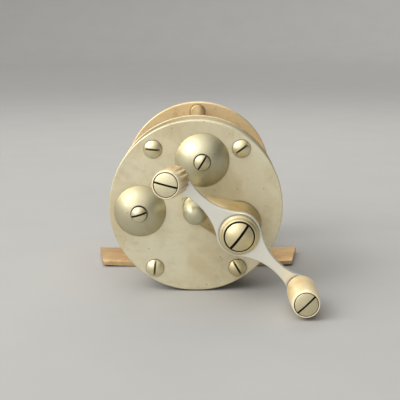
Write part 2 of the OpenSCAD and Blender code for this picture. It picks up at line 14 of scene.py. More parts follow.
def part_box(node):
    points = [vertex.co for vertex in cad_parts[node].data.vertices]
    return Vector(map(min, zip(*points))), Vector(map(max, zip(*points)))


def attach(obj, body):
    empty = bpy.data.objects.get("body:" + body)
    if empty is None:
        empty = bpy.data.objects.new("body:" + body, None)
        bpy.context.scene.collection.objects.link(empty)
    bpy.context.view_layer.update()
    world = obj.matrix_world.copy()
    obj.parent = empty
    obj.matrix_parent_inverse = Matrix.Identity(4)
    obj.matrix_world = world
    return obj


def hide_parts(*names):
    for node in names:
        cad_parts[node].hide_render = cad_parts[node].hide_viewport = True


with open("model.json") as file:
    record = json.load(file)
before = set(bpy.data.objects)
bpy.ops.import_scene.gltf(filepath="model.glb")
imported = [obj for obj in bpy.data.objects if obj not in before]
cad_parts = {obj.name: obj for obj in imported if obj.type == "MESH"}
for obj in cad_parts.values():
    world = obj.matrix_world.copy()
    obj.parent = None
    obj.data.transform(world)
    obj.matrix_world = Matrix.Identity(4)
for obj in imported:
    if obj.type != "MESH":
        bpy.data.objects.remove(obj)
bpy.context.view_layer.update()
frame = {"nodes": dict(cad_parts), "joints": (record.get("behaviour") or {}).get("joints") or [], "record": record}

SCENE = bpy.context.scene
MM = 0.001
FINE = 192      # sides of a plate
ROUND = 72      # sides of a screw, pillar or grip
ARC_STEPS = 5   # steps of a rounded corner
PAST = 1        # millimetres by which a cutter runs past the face that it cuts


# ---------------------------------------------------------------- measures from the frame

def box_mm(node):
    """A node's lowest and highest corner in millimetres."""
    low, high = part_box(node)
    return low / MM, high / MM


def spot(node):
    """The middle of a node seen along the spool's axis, as (x, u), and half its width."""
    low, high = box_mm(node)
    return (low.x + high.x) / 2, (low.z + high.z) / 2 - AXIS_Z, (high.x - low.x) / 2


COVER = box_mm("head_cover")
PLATE_R = (COVER[1].x - COVER[0].x) / 2
AXIS_Z = (COVER[1].z + COVER[0].z) / 2
FACE = -COVER[0].y                       # station of the head cover's face
RIM = -COVER[1].y                        # station of the back of the cover's rim
GAP_END = -box_mm("gear_plate")[1].y     # station of the gear plate's spool side
PLATE_T = box_mm("gear_plate")[1].y - box_mm("gear_plate")[0].y
BOX_BACK = GAP_END + PLATE_T             # station of the gear plate's head side
COVER_BACK = FACE - PLATE_T
TAIL_FACE = -GAP_END
TAIL_BACK = -box_mm("tail_plate")[1].y
ARM = box_mm("crank_arm")
ARM_OUT, ARM_IN = -ARM[0].y, -ARM[1].y
JOINTS = {j["name"]: j for j in frame["joints"]}


def joint_spot(name):
    x, _, z = (v / MM for v in JOINTS[name]["pos_m"])
    return x, z - AXIS_Z


CRANK = joint_spot("crank_spin")
LOWER_END = joint_spot("lower_grip_spin")
THROW = math.dist(CRANK, LOWER_END)      # from the crank's axis to a grip's
ARM_ANGLE = math.degrees(math.atan2(LOWER_END[1] - CRANK[1], LOWER_END[0] - CRANK[0]))

RIM_W = 1.1            # width of the raised rims of the head cover and the tail plate
TAIL_FLOOR = TAIL_FACE - 1.8             # station of the tail plate's sunk outer side
BEARING_HOLE = 2.42    # radius of the hole for a spool bearing
BUSH_HOLE = 3.12       # radius of the hole for the crank's bush
STEM_HOLE = 1.56       # radius of the hole for an adjuster's stem
SCREW_R = 1.15         # radius of a pillar screw's shank


# ---------------------------------------------------------------- mesh making

def place(x=0.0, u=0.0, s=0.0, turn=0.0):
    """From a piece's own millimetres, its +Z towards the crank side, to metres in the row frame."""
    axes = Matrix(((1, 0, 0, x), (0, 0, -1, -s), (0, 1, 0, AXIS_Z + u), (0, 0, 0, 1)))
    return Matrix.Scale(MM, 4) @ axes @ Matrix.Rotation(math.radians(turn), 4, "Z")


def place_tail(x=0.0, u=0.0, s=0.0, turn=0.0):
    """The same for a piece whose +Z points to the tail side."""
    return place(x, u, s) @ Matrix.Rotation(math.pi, 4, "X") @ Matrix.Rotation(math.radians(turn), 4, "Z")


def soften(points, radius):
    """The same outline with its inner corners rounded, as far as its edges allow."""
    straight = math.radians(160)
    out = [Vector(points[0])]
    for before, corner, after in zip(points, points[1:], points[2:]):
        corner = Vector(corner)
        back, on = Vector(before) - corner, Vector(after) - corner
        if back.angle(on) > straight:
            out.append(corner)
            continue
        reach = min(radius, 0.45 * back.length, 0.45 * on.length)
        start, end = corner + back.normalized() * reach, corner + on.normalized() * reach
        for i in range(ARC_STEPS + 1):
            t = i / ARC_STEPS
            out.append(start * (1 - t) ** 2 + corner * 2 * t * (1 - t) + end * t * t)
    out.append(Vector(points[-1]))
    return out


def make_mesh(name, points, faces):
    mesh = bpy.data.meshes.new(name)
    mesh.from_pydata(points, [], faces)
    mesh.validate()
    mesh.update()
    return mesh


def turned(name, profile, sides=ROUND, radius=0.15, closed=False):
    """A profile of (radius, height) points turned round Z. A closed profile makes a ring."""
    on_axis = 1e-6
    profile = soften(list(profile) + ([profile[0]] if closed else []), radius)
    if closed:
        profile = profile[1:]
    points, rings = [], []
    for r, z in profile:
        if r < on_axis:
            rings.append([len(points)] * sides)
            points.append((0, 0, z))
            continue
        rings.append(list(range(len(points), len(points) + sides)))
        for i in range(sides):
            a = 2 * math.pi * i / sides
            points.append((r * math.cos(a), r * math.sin(a), z))
    faces = []
    pairs = list(zip(rings, rings[1:])) + ([(rings[-1], rings[0])] if closed else [])
    for lower, upper in pairs:
        for i in range(sides):
            k = (i + 1) % sides
            loop = []
            for v in (lower[i], lower[k], upper[k], upper[i]):
                if v not in loop:
                    loop.append(v)
            if len(loop) > 2:
                faces.append(loop)
    return make_mesh(name, points, faces)


def prism(name, outline, z0, z1):
    """An outline of (x, y) points, anticlockwise, from z0 up to z1."""
    n = len(outline)
    points = [(x, y, z0) for x, y in outline] + [(x, y, z1) for x, y in outline]
    faces = [list(range(n))[::-1], list(range(n, 2 * n))]
    faces += [[i, (i + 1) % n, n + (i + 1) % n, n + i] for i in range(n)]
    return make_mesh(name, points, faces)


def disc_outline(r, sides=ROUND, x=0.0, y=0.0):
    step = 2 * math.pi / sides
    return [(x + r * math.cos(i * step), y + r * math.sin(i * step)) for i in range(sides)]


def bar_outline(length, width, angle):
    """A rectangle round the origin, turned by an angle in degrees."""
    c, d = math.cos(math.radians(angle)), math.sin(math.radians(angle))
    half = ((-1, -1), (1, -1), (1, 1), (-1, 1))
    corners = ((a * length / 2, b * width / 2) for a, b in half)
    return [(x * c - y * d, x * d + y * c) for x, y in corners]


def shaped(mesh, modifiers):
    """The mesh as it comes out of a list of (type, settings) modifiers."""
    holder = bpy.data.objects.new("holder", mesh)
    SCENE.collection.objects.link(holder)
    for kind, settings in modifiers:
        modifier = holder.modifiers.new(kind, kind)
        for key, value in settings.items():
            setattr(modifier, key, value)
    graph = bpy.context.evaluated_depsgraph_get()
    out = bpy.data.meshes.new_from_object(holder.evaluated_get(graph))
    out.name = mesh.name
    bpy.data.objects.remove(holder)
    return out


def carved(mesh, *cutters):
    """The mesh with the cutters' volumes taken away."""
    tools = []
    for cutter in cutters:
        tool = bpy.data.objects.new("cutter", cutter)
        SCENE.collection.objects.link(tool)
        tools.append(tool)
    cuts = [("BOOLEAN", {"operation": "DIFFERENCE", "solver": "EXACT", "object": t}) for t in tools]
    out = shaped(mesh, cuts)
    for tool in tools:
        bpy.data.objects.remove(tool)
    return out


def piece(name, mesh, matrix, body, node, material, bevel=0.0):
    """Puts a finished mesh in the row frame, on its body, in place of its CAD node."""
    sharp, bevelled = math.radians(34), math.radians(40)
    mesh.transform(matrix)
    mesh.name = name
    mesh.materials.clear()
    mesh.materials.append(material)
    mesh.shade_smooth()
    mesh.set_sharp_from_angle(angle=sharp)
    obj = bpy.data.objects.new(name, mesh)
    SCENE.collection.objects.link(obj)
    if bevel:
        edges = obj.modifiers.new("edges", "BEVEL")
        edges.width = bevel * MM
        edges.segments = 3
        edges.limit_method = "ANGLE"
        edges.angle_limit = bevelled
        edges.use_clamp_overlap = True
    normals = obj.modifiers.new("normals", "WEIGHTED_NORMAL")
    normals.keep_sharp = True
    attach(obj, body)
    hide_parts(node)
    return obj


# ---------------------------------------------------------------- materials

def linear(r, g, b):
    """A colour given as 0 to 255 screen values."""
    def one(v):
        v /= 255
        return v / 12.92 if v <= 0.04045 else ((v + 0.055) / 1.055) ** 2.4
    return (one(r), one(g), one(b), 1.0)


class Finish:
    """A node material under construction, with short names for the nodes that it uses."""

    def __init__(self, name):
        self.material = bpy.data.materials.new(name)
        self.material.use_nodes = True
        self.nodes = self.material.node_tree.nodes
        self.links = self.material.node_tree.links
        self.shader = self.nodes["Principled BSDF"]
        self.coords = self.nodes.new("ShaderNodeTexCoord").outputs["Object"]

    def link(self, value, socket):
        if hasattr(value, "is_linked"):
            self.links.new(value, socket)
        else:
            socket.default_value = value

    def node(self, kind, inputs=(), **settings):
        node = self.nodes.new(kind)
        for key, value in settings.items():
            setattr(node, key, value)
        for key, value in dict(inputs).items():
            self.link(value, node.inputs[key])
        return node

    def mapped(self, stretch, turn=(0, 0, 0)):
        """Object coordinates, stretched and turned, for patterns with a direction."""
        turn = tuple(math.radians(a) for a in turn)
        node = self.node("ShaderNodeMapping", {"Vector": self.coords, "Rotation": turn})
        node.inputs["Scale"].default_value = stretch
        return node.outputs["Vector"]

    def noise(self, scale, detail=4.0, roughness=0.55, distortion=0.0, vector=None):
        node = self.node("ShaderNodeTexNoise", {
            "Vector": vector or self.coords, "Scale": scale, "Detail": detail,
            "Roughness": roughness, "Distortion": distortion})
        return node.outputs["Fac"]

    def spots(self, scale, size):
        """1 in small round spots of a cell pattern, 0 between them."""
        node = self.node("ShaderNodeTexVoronoi", {"Vector": self.coords, "Scale": scale})
        return self.band(node.outputs["Distance"], size, 0.3 * size)

    def band(self, value, low, high, out_low=0.0, out_high=1.0):
        """Maps low..high to out_low..out_high, smoothly and clamped."""
        node = self.node("ShaderNodeMapRange", {
            "Value": value, "From Min": low, "From Max": high,
            "To Min": out_low, "To Max": out_high}, interpolation_type="SMOOTHSTEP")
        return node.outputs["Result"]

    def math(self, operation, a, b=0.0):
        node = self.node("ShaderNodeMath", operation=operation)
        self.link(a, node.inputs[0])
        self.link(b, node.inputs[1])
        return node.outputs[0]

    def mix(self, a, b, factor):
        node = self.node("ShaderNodeMix", data_type="RGBA")
        factor_in, a_in, b_in, colour_out = 0, 6, 7, 2    # a Mix node's sockets for colours
        self.link(factor, node.inputs[factor_in])
        self.link(a, node.inputs[a_in])
        self.link(b, node.inputs[b_in])
        return node.outputs[colour_out]

    def crevice(self, distance):
        """1 deep in a corner or slot, 0 in the open."""
        node = self.node("ShaderNodeAmbientOcclusion", {"Distance": distance * MM}, samples=6)
        return self.math("SUBTRACT", 1.0, node.outputs["AO"])

    def bump(self, height, depth, strength=1.0, under=None):
        node = self.node("ShaderNodeBump", {
            "Height": height, "Distance": depth * MM, "Strength": strength})
        if under is not None:
            self.links.new(under, node.inputs["Normal"])
        return node.outputs["Normal"]

    def finish(self, **sockets):
        for key, value in sockets.items():
            self.link(value, self.shader.inputs[key.replace("_", " ")])
        return self.material


PIT_DARK = (0.06, 0.045, 0.025, 1)
STAIN_BROWN = (0.16, 0.09, 0.035, 1)
# painted shade with dirt: the next two colours darken what ambient occlusion finds near corners
CORNER_GRIME_AND_SHADE = (0.20, 0.13, 0.06, 1)
DIRT_AND_SHADE_BLACK = (0.035, 0.027, 0.016, 1)
CORROSION_BLACK = (0.03, 0.02, 0.012, 1)
# painted shade: the black of a screw slot's depths
SLOT_SHADE_BLACK = (0.012, 0.009, 0.005, 1)
# dirt and painted shade for tight gaps in the bone
GAP_DIRT_AND_SHADE = (0.09, 0.06, 0.03, 1)
GRAIN_TAN = linear(200, 160, 94)
TIP_CREAM = linear(240, 226, 190)
WORN_TAN = linear(218, 188, 134)
PATCH_TAN = linear(190, 150, 92)
CRACK_BROWN = linear(122, 92, 52)
# stain and painted shade for the worn flutes
FLUTE_STAIN_AND_SHADE = linear(118, 88, 52)


def metal(name, base, toned, rough, mottle=0.5, grime_and_shade=0.9, stain=0.0, deep=0.9, pitting=None, slot=None):
    """Old nickel silver: soft toning, fine scratches, pits, wavy polish, and dirt with painted shade in the
    corners.

    mottle, grime_and_shade and stain say how strong the toning, the corner dirt with its painted shade and the
    brown patches are, deep how far from a corner that darkening reaches in millimetres, pitting and slot where
    corrosion and painted slot shade lie.
    """
    m = Finish(name)
    clouds = m.noise(95, 6, 0.62, 0.5)
    broad = m.noise(34, 3, 0.5, 0.2)
    streaks = m.noise(1, 5, 0.65, 0, m.mapped((260, 260, 900), (0, 35, 0)))
    toning = m.math("ADD", m.band(clouds, 0.42, 0.68), m.band(broad, 0.4, 0.7))
    colour = m.mix(base, toned, m.math("MULTIPLY", toning, mottle * 0.6))
    colour = m.mix(colour, toned, m.math("MULTIPLY", m.band(streaks, 0.5, 0.8), mottle * 0.5))
    pits = m.spots(560, 0.16)
    pitted = m.math("MULTIPLY", pits, m.band(m.noise(210, 2), 0.55, 0.62))
    colour = m.mix(colour, PIT_DARK, m.math("MULTIPLY", pitted, 0.6))
    brown = m.band(m.noise(150, 5, 0.7, 1.0), 0.52, 0.70)
    colour = m.mix(colour, STAIN_BROWN, m.math("MULTIPLY", brown, stain))
    # painted shade with grime: ambient occlusion browns the metal near corners and contacts
    near = m.band(m.crevice(2.4), 0.12, 0.75)
    colour = m.mix(colour, CORNER_GRIME_AND_SHADE, m.math("MULTIPLY", near, 0.45 * grime_and_shade))
    # painted shade with dirt: ambient occlusion blackens the tightest corners
    dirt = m.math("MULTIPLY", m.band(m.crevice(deep), 0.24, 0.5), grime_and_shade)
    colour = m.mix(colour, DIRT_AND_SHADE_BLACK, dirt)
    fine = m.noise(1, 3, 0.7, 0, m.mapped((5200, 5200, 160), (0, 62, 0)))
    cross = m.noise(1, 3, 0.7, 0, m.mapped((5200, 5200, 150), (0, -24, 0)))
    lines = m.math("ADD", m.band(fine, 0.6, 0.75), m.band(cross, 0.62, 0.78))
    grain = m.noise(3800, 2, 0.6)
    roughness = m.math("ADD", m.band(clouds, 0.3, 0.7, rough - 0.06, rough + 0.08),
                       m.math("MULTIPLY", lines, 0.03))
    roughness = m.math("ADD", roughness, m.math("MULTIPLY", dirt, 0.25))
    # relief: a wavy polish, then grain and scratches, then pits
    normal = m.bump(m.noise(190, 2, 0.4), 0.05, 0.35)
    normal = m.bump(m.math("ADD", grain, m.math("MULTIPLY", lines, -0.3)), 0.006, 0.5, normal)
    normal = m.bump(m.math("MULTIPLY", pitted, -1.0), 0.06, 0.9, normal)
    if pitting is not None:
        colour, normal = corrosion(m, pitting, colour, normal)
    if slot is not None:
        colour = painted_slot_shade(m, colour, *slot)
    return m.finish(Base_Color=colour, Metallic=1.0, Roughness=roughness, Normal=normal)


def corrosion(m, where, colour, normal):
    """A patch of small dark pits round each (x, u, radius) of the head plate."""
    for x, u, radius in where:
        away = m.node("ShaderNodeVectorMath", {0: m.coords}, operation="DISTANCE")
        away.inputs[1].default_value = (x * MM, -FACE * MM, (AXIS_Z + u) * MM)
        patch = m.band(away.outputs["Value"], radius * MM, 0.3 * radius * MM)
        pits = m.math("MULTIPLY", m.spots(1500, 0.42), patch)
        colour = m.mix(colour, CORROSION_BLACK, m.math("MULTIPLY", pits, 0.85))
        normal = m.bump(m.math("MULTIPLY", pits, -1.0), 0.15, 1.0, normal)
    return colour, normal


def painted_slot_shade(m, colour, matrix, floor, reach):
    """Painted black shade below the height floor of a screw that matrix places, clean above reach."""
    uneven = 0.15 * MM
    out = (matrix.to_3x3() @ Vector((0, 0, 1))).normalized()
    height = m.node("ShaderNodeVectorMath", {0: m.coords}, operation="DOT_PRODUCT")
    height.inputs[1].default_value = out
    low, high = ((matrix @ Vector((0, 0, z))).dot(out) for z in (floor, reach))
    wander = m.math("MULTIPLY", m.noise(1600, 3), uneven)
    # painted shade: the slot is blackened below its floor height
    in_shade = m.band(m.math("ADD", height.outputs["Value"], wander), high + uneven / 2, low + uneven / 2)
    return m.mix(colour, SLOT_SHADE_BLACK, m.math("MULTIPLY", in_shade, 0.97))


def screw_look(name, matrix, floor, reach, base=(230, 224, 194), rough=0.48):
    """The metal of a big screw, whose slot is painted black as shade from floor to reach above its seat."""
    return metal(name, linear(*base), linear(204, 192, 154), rough, mottle=0.7, grime_and_shade=0.8, deep=0.7,
                 slot=(matrix, floor, reach))


def ivory(name, cream, tan, stain, inner_y, outer_y):
    """Polished bone: cream with long grain lines, yellowing and a brown stain at the arm's end.

    stain says how strong it is; it fades out between inner_y and outer_y along the spool's axis.
    """
    m = Finish(name)
    grain = m.noise(1, 5, 0.6, 0.3, m.mapped((900, 70, 900)))
    clouds = m.noise(160, 4, 0.5, 0.5)
    colour = m.mix(cream, tan, m.band(clouds, 0.4, 0.75))
    colour = m.mix(colour, GRAIN_TAN, m.math("MULTIPLY", m.band(grain, 0.54, 0.78), 0.6))
    along = m.node("ShaderNodeSeparateXYZ", {"Vector": m.coords}).outputs["Y"]
    wander = m.math("MULTIPLY", m.noise(420, 3), 6 * MM)
    near_arm = m.band(m.math("ADD", along, wander), outer_y, inner_y)
    colour = m.mix(colour, TIP_CREAM, m.band(along, outer_y - 1.2 * MM, outer_y - 2.6 * MM))
    mottled = m.band(m.noise(1, 5, 0.65, 0.6, m.mapped((420, 130, 420))), 0.32, 0.56)
    brown = m.math("MULTIPLY", m.math("MULTIPLY", near_arm, mottled), stain)
    colour = m.mix(colour, WORN_TAN, m.math("MULTIPLY", near_arm, 0.9 * stain))
    colour = m.mix(colour, PATCH_TAN, m.math("MULTIPLY", brown, 0.8))
    crack = m.noise(1, 4, 0.6, 0.8, m.mapped((500, 1500, 500)))
    lines = m.math("MULTIPLY", m.band(crack, 0.6, 0.68), m.math("MULTIPLY", near_arm, stain))
    colour = m.mix(colour, CRACK_BROWN, m.math("MULTIPLY", lines, 0.45))
    # stain and painted shade: ambient occlusion browns the flutes near the arm
    flutes = m.math("MULTIPLY", m.band(m.crevice(1.8), 0.12, 0.55), near_arm)
    colour = m.mix(colour, FLUTE_STAIN_AND_SHADE, m.math("MULTIPLY", flutes, 0.75 * stain))
    # dirt and painted shade: ambient occlusion browns the tight gaps round the screw and at the arm
    dirt = m.band(m.crevice(0.4), 0.5, 1.0)
    colour = m.mix(colour, GAP_DIRT_AND_SHADE, m.math("MULTIPLY", dirt, 0.8))
    roughness = m.band(clouds, 0.3, 0.7, 0.30, 0.42)
    normal = m.bump(m.math("ADD", grain, m.math("MULTIPLY", lines, -2.0)), 0.03, 0.5)
    normal = m.bump(m.noise(260, 3), 0.06, 0.4 + 0.4 * stain, normal)
    return m.finish(Base_Color=colour, Roughness=roughness, Normal=normal, Subsurface_Weight=0.05,
                    Subsurface_Radius=(1.2 * MM, 0.8 * MM, 0.4 * MM), Coat_Weight=0.2, Coat_Roughness=0.25)


def leather(name):
    """Dark leather with a fine cell grain."""
    m = Finish(name)
    cells = m.node("ShaderNodeTexVoronoi", {"Vector": m.coords, "Scale": 2600}).outputs["Distance"]
    colour = m.mix(linear(118, 78, 44), linear(66, 42, 24), m.noise(700, 5))
    normal = m.bump(cells, 0.05, 0.6)
    return m.finish(Base_Color=colour, Roughness=0.8, Normal=normal)


LOOKS = {
    "nickel_silver": metal("nickel_silver", linear(222, 215, 184), linear(196, 184, 148), 0.56,
                           mottle=0.6, grime_and_shade=0.4),
    "bright_nickel": metal("bright_nickel", linear(250, 249, 240), linear(232, 229, 215), 0.46,
                           mottle=0.3, grime_and_shade=0.7),
    "warm_nickel": metal("warm_nickel", linear(230, 220, 182), linear(196, 176, 126), 0.46, deep=1.1),
    "tarnished_nickel": metal("tarnished_nickel", linear(238, 218, 176), linear(208, 178, 130), 0.5,
                              mottle=0.7, stain=0.25),
    "bearing_brass": metal("bearing_brass", linear(206, 172, 104), linear(160, 118, 62), 0.38),
    "tool_steel": metal("tool_steel", linear(168, 166, 162), linear(120, 108, 92), 0.4),
    "drag_leather": leather("drag_leather"),
}
PLATE_LOOK = metal("plate_nickel", linear(237, 230, 202), linear(212, 200, 166), 0.5, mottle=0.9,
                   stain=0.12, pitting=((-3.6, 2.6, 0.9), (-4.1, 1.4, 0.9), (-1.0, 19.5, 1.4)))
DOME_LOOK = metal("dome_nickel", linear(209, 204, 176), linear(188, 178, 144), 0.5, mottle=0.6,
                  grime_and_shade=0.4)
# painted shade: the pillars are darker and browner than the plates they stand between, with some stain
PILLAR_SHADED_LOOK = metal("pillar_shaded_nickel", linear(206, 180, 132), linear(172, 138, 90), 0.6, stain=0.5)
FOOT_LOOK = metal("foot_nickel", linear(222, 194, 150), linear(192, 158, 112), 0.52, mottle=0.8,
                  stain=0.3)
# painted shade: the head box's band is darker than the plate, for the dim light on its upturned side, with some
# tarnish
RING_SHADED_LOOK = metal("ring_shaded_nickel", linear(196, 185, 148), linear(160, 145, 106), 0.5, mottle=0.8,
                  stain=0.2)
# painted shade and painted reflection: the boss is darker and warmer than the plate, for the arm's shade and a
# warm reflection on its flank, with some stain
BOSS_SHADED_LOOK = metal("boss_shaded_nickel", linear(214, 198, 156), linear(176, 150, 102), 0.48, stain=0.3)
BONE_IN, BONE_OUT = -(ARM_OUT + 4) * MM, -(ARM_OUT + 12.5) * MM
UPPER_BONE = ivory("bone_upper", linear(236, 220, 180), linear(226, 198, 144), 1.0, BONE_IN, BONE_OUT)
LOWER_BONE = ivory("bone_lower", linear(234, 218, 174), linear(222, 196, 140), 0.25, BONE_IN, BONE_OUT)

# The CAD nodes that no piece replaces show as they are, so they take the looks of their slots.
for entry in frame["record"]["subparts"]:
    look = LOOKS.get(entry["material_slot"])
    if look:
        frame["nodes"][entry["node"]].data.materials.clear()
        frame["nodes"][entry["node"]].data.materials.append(look)


# ---------------------------------------------------------------- shared shapes

def dome_profile(r, height, steps=20, inner=0.0):
    """Points of a spherical cap of base radius r, from its foot up to radius inner."""
    ball = (r * r + height * height) / (2 * height)
    start, end = math.asin(min(1, r / ball)), math.asin(inner / ball)
    angles = (start + (end - start) * i / steps for i in range(steps + 1))
    return [(ball * math.sin(a), ball * math.cos(a) + height - ball) for a in angles]


def slotted_head(name, r, height, shank_r, shank_l, slot_w, slot_d, angle, side=0.35):
    """A turned screw with a domed head on z = 0, a straight edge below the dome, and a slot."""
    wall = height * side
    crown = [(a, z + wall) for a, z in dome_profile(r, height - wall)]
    profile = [(0, -shank_l), (shank_r, -shank_l), (shank_r, 0), (r, 0)] + crown
    body = turned(name, profile, ROUND, 0.1)
    slot = prism("slot", bar_outline(2 * r + 2, slot_w, angle), height - slot_d, height + 1)
    return carved(body, slot)


def rod_mesh(r, z0, z1, x=0.0, y=0.0):
    return prism("rod", disc_outline(r, ROUND, x, y), z0, z1)


# ---------------------------------------------------------------- head box

def make_head_cover():
    """The front plate, with a rim behind that fits over the ring, and holes for what passes through."""
    inner, cap_hole = PLATE_R - RIM_W, 2.62
    profile = [
        (0, COVER_BACK), (inner, COVER_BACK), (inner, RIM), (PLATE_R, RIM), (PLATE_R, FACE), (0, FACE)]
    through = (COVER_BACK - PAST, FACE + PAST)
    holes = [rod_mesh(cap_hole, *through), rod_mesh(BUSH_HOLE, *through, *CRANK)]
    for name in ("click_turn", "drag_turn"):
        holes.append(rod_mesh(STEM_HOLE, *through, *joint_spot(name)))
    mesh = carved(turned("head_cover", profile, FINE, 0.38), *holes)
    piece("head_cover_plate", mesh, place(), "frame", "head_cover", PLATE_LOOK)


def make_head_ring():
    """The head box's side band, with a groove behind the cover's rim."""
    low, high = box_mm("head_ring")
    outer = (high.x - low.x) / 2
    inner, groove, step = outer - 1.1, 0.9, 0.75
    profile = [
        (inner, BOX_BACK), (outer, BOX_BACK), (outer, RIM - groove), (outer - step, RIM - groove),
        (outer - step, RIM), (inner, RIM)]
    mesh = turned("head_ring", profile, FINE, 0.12, closed=True)
    piece("head_ring_band", mesh, place(), "frame", "head_ring", RING_SHADED_LOOK)


def make_gear_plate():
    """The plate between the head box and the spool."""
    pivot_hole, plunger_hole = 2.22, 1.66
    profile = [(0, GAP_END), (PLATE_R, GAP_END), (PLATE_R, BOX_BACK), (0, BOX_BACK)]
    through = (GAP_END - PAST, BOX_BACK + PAST)
    holes = [rod_mesh(BEARING_HOLE, *through), rod_mesh(pivot_hole, *through, *CRANK),
             rod_mesh(plunger_hole, *through, *joint_spot("drag_turn"))]
    mesh = carved(turned("gear_plate", profile, FINE, 0.3), *holes)
    piece("gear_plate_disc", mesh, place(), "frame", "gear_plate",
          LOOKS["tarnished_nickel"])


def make_cover_screws():
    """Four domed screws over the posts in the head box, each slot turned as it was left."""
    post_r, head_r, head_h, shank_l, slot_w, slot_d = 1.8, 2.6, 1.5, 7, 0.6, 0.93
    seats = []
    for node, turns in (("standoffs", (-5, 37)), ("spacer_sleeves", (84, -59))):
        low, high = box_mm(node)
        u = spot(node)[1]
        seats += [(low.x + post_r, u, turns[0]), (high.x - post_r, u, turns[1])]
    for i, (x, u, angle) in enumerate(seats, 1):
        mesh = slotted_head("cover_screw", head_r, head_h, SCREW_R, shank_l, slot_w, slot_d, angle)
        piece(f"cover_screw_{i}", mesh, place(x, u, FACE), "frame", "cover_screws",
              LOOKS["warm_nickel"], 0.06)


def make_dome(node, joint):
    """A dome with a well in its top for the adjuster's head."""
    r = spot(node)[2]
    height, well_r, well_d, hole_r = 4.5, 2.52, 0.8, 1.55
    crown = dome_profile(r, height, 28, well_r)
    floor = height - well_d
    profile = [(hole_r, 0), (r, 0)] + crown[1:] + [(well_r, floor), (hole_r, floor)]
    mesh = turned(node, profile, FINE // 2, 0.1, closed=True)
    x, u = joint_spot(joint)
    piece(f"{node}_shell", mesh, place(x, u, FACE), "frame", node, DOME_LOOK)


def make_adjuster(node, joint, body, angle):
    """The slotted screw in a dome; its stem reaches as far in as the CAD's."""
    x, u = joint_spot(joint)
    seat, inner_end = FACE + 3.8, -box_mm(node)[1].y
    r, height, stem_r, slot_w, slot_d, side = 2.27, 2.4, 1.5, 0.6, 1.3, 0.6
    mesh = slotted_head(node, r, height, stem_r, seat - inner_end, slot_w, slot_d, angle, side)
    matrix, slot_floor = place(x, u, seat), height - slot_d
    look = screw_look(f"{node}_nickel", matrix, slot_floor - 0.1, slot_floor + 0.25)
    piece(f"{node}_head", mesh, matrix, body, node, look, 0.06)


def make_crank_boss():
    """A bell round the crank's bush, with a ridge that runs down to the spool's bearing."""
    foot_r, top_r, height, taper, cap_room_r, steps = 7.03, 5.1, 9.8, 0.5, 4.1, 12
    bell = [(0, 0), (foot_r, 0)]
    for i in range(1, steps + 1):
        t = i / steps
        flare = (foot_r - top_r - taper) * (1 - t) ** 2.2
        bell.append((top_r + taper * (1 - t) + flare, 0.5 + (height - 0.9) * t))
    bell += [(top_r, height), (0, height)]
    base = turned("bell", bell, 96, 0.35)
    base.transform(Matrix.Translation((CRANK[0], CRANK[1], 0)))
    ridge = bpy.data.meshes.new("ridge")
    ridge.from_pydata(*ridge_points())
    bell_object = bpy.data.objects.new("bell", base)
    SCENE.collection.objects.link(bell_object)
    mesh = shaped(ridge, [("BOOLEAN", {"operation": "UNION", "solver": "EXACT", "object": bell_object})])
    bpy.data.objects.remove(bell_object)
    mesh = shaped(mesh, [("REMESH", {"mode": "VOXEL", "voxel_size": 0.16}),
                         ("SMOOTH", {"factor": 0.5, "iterations": 7})])
    for vertex in mesh.vertices:
        vertex.co.z = min(max(vertex.co.z, 0.0), height)
    through = (-PAST, height + PAST)
    mesh = carved(mesh, rod_mesh(BUSH_HOLE, *through, *CRANK), rod_mesh(cap_room_r, *through))
    piece("crank_boss_casting", mesh, place(0, 0, FACE), "frame", "crank_boss",
          BOSS_SHADED_LOOK)


def ridge_points():
    """Points, edges and faces of a closed wedge, low and narrow at the spool's bearing, high at the bell.

    Its lower flank runs out flatter than its upper one.
    """
    length, turn = math.hypot(*CRANK), math.atan2(CRANK[1], CRANK[0])
    narrow, wide, low, climb = 4.3, 7.0, 1.2, 6.6
    upper_flank, lower_flank = 1.25, 2.0
    sections = []
    steps, around = 24, 20
    for i in range(steps + 1):
        t = i / steps
        half = narrow + (wide - narrow) * t
        top = low + climb * t ** 1.4
        section = []
        for k in range(around + 1):
            a = math.pi * k / around
            out = half * math.cos(a)
            power = upper_flank if out > 0 else lower_flank
            rise = top * (1 - abs(math.cos(a)) ** 2.4) ** power
            section.append((length * t, out, rise))
        sections.append(section)
    c, d = math.cos(turn), math.sin(turn)
    points = [(x * c - y * d, x * d + y * c, max(z, 0.0)) for row in sections for x, y, z in row]
    n = around + 1
    faces = []
    for i in range(steps):
        for k in range(around):
            faces.append([i * n + k, (i + 1) * n + k, (i + 1) * n + k + 1, i * n + k + 1])
        faces.append([i * n + n - 1, (i + 1) * n + n - 1, (i + 1) * n, i * n])
    faces.append(list(range(n))[::-1])
    faces.append([steps * n + k for k in range(n)])
    return points, [], [face[::-1] for face in faces]


def make_head_cap():
    """The oil cap of the spool's head bearing: a ball on a waisted neck."""
    ball_r, ball_z, neck_r, bore_r, bore_top, foot_z, steps = 3.7, 7.8, 3.05, 2.65, 2.8, 0.1, 24
    neck = [
        (0, bore_top), (bore_r, bore_top), (bore_r, foot_z), (3.7, foot_z), (3.7, 0.8), (3.35, 1.3),
        (neck_r, 2.4), (3.0, 4.4)]
    span = math.pi - math.asin(neck_r / ball_r)
    ball = []
    for i in range(steps + 1):
        a = span - span * i / steps
        ball.append((ball_r * math.sin(a), ball_z + ball_r * math.cos(a)))
    mesh = turned("head_bearing_cap", neck + ball, 96, 0.2)
    piece("head_cap_ball", mesh, place(0, 0, FACE), "head_cap", "head_bearing_cap",
          DOME_LOOK)


# ---------------------------------------------------------------- frame, tail and foot

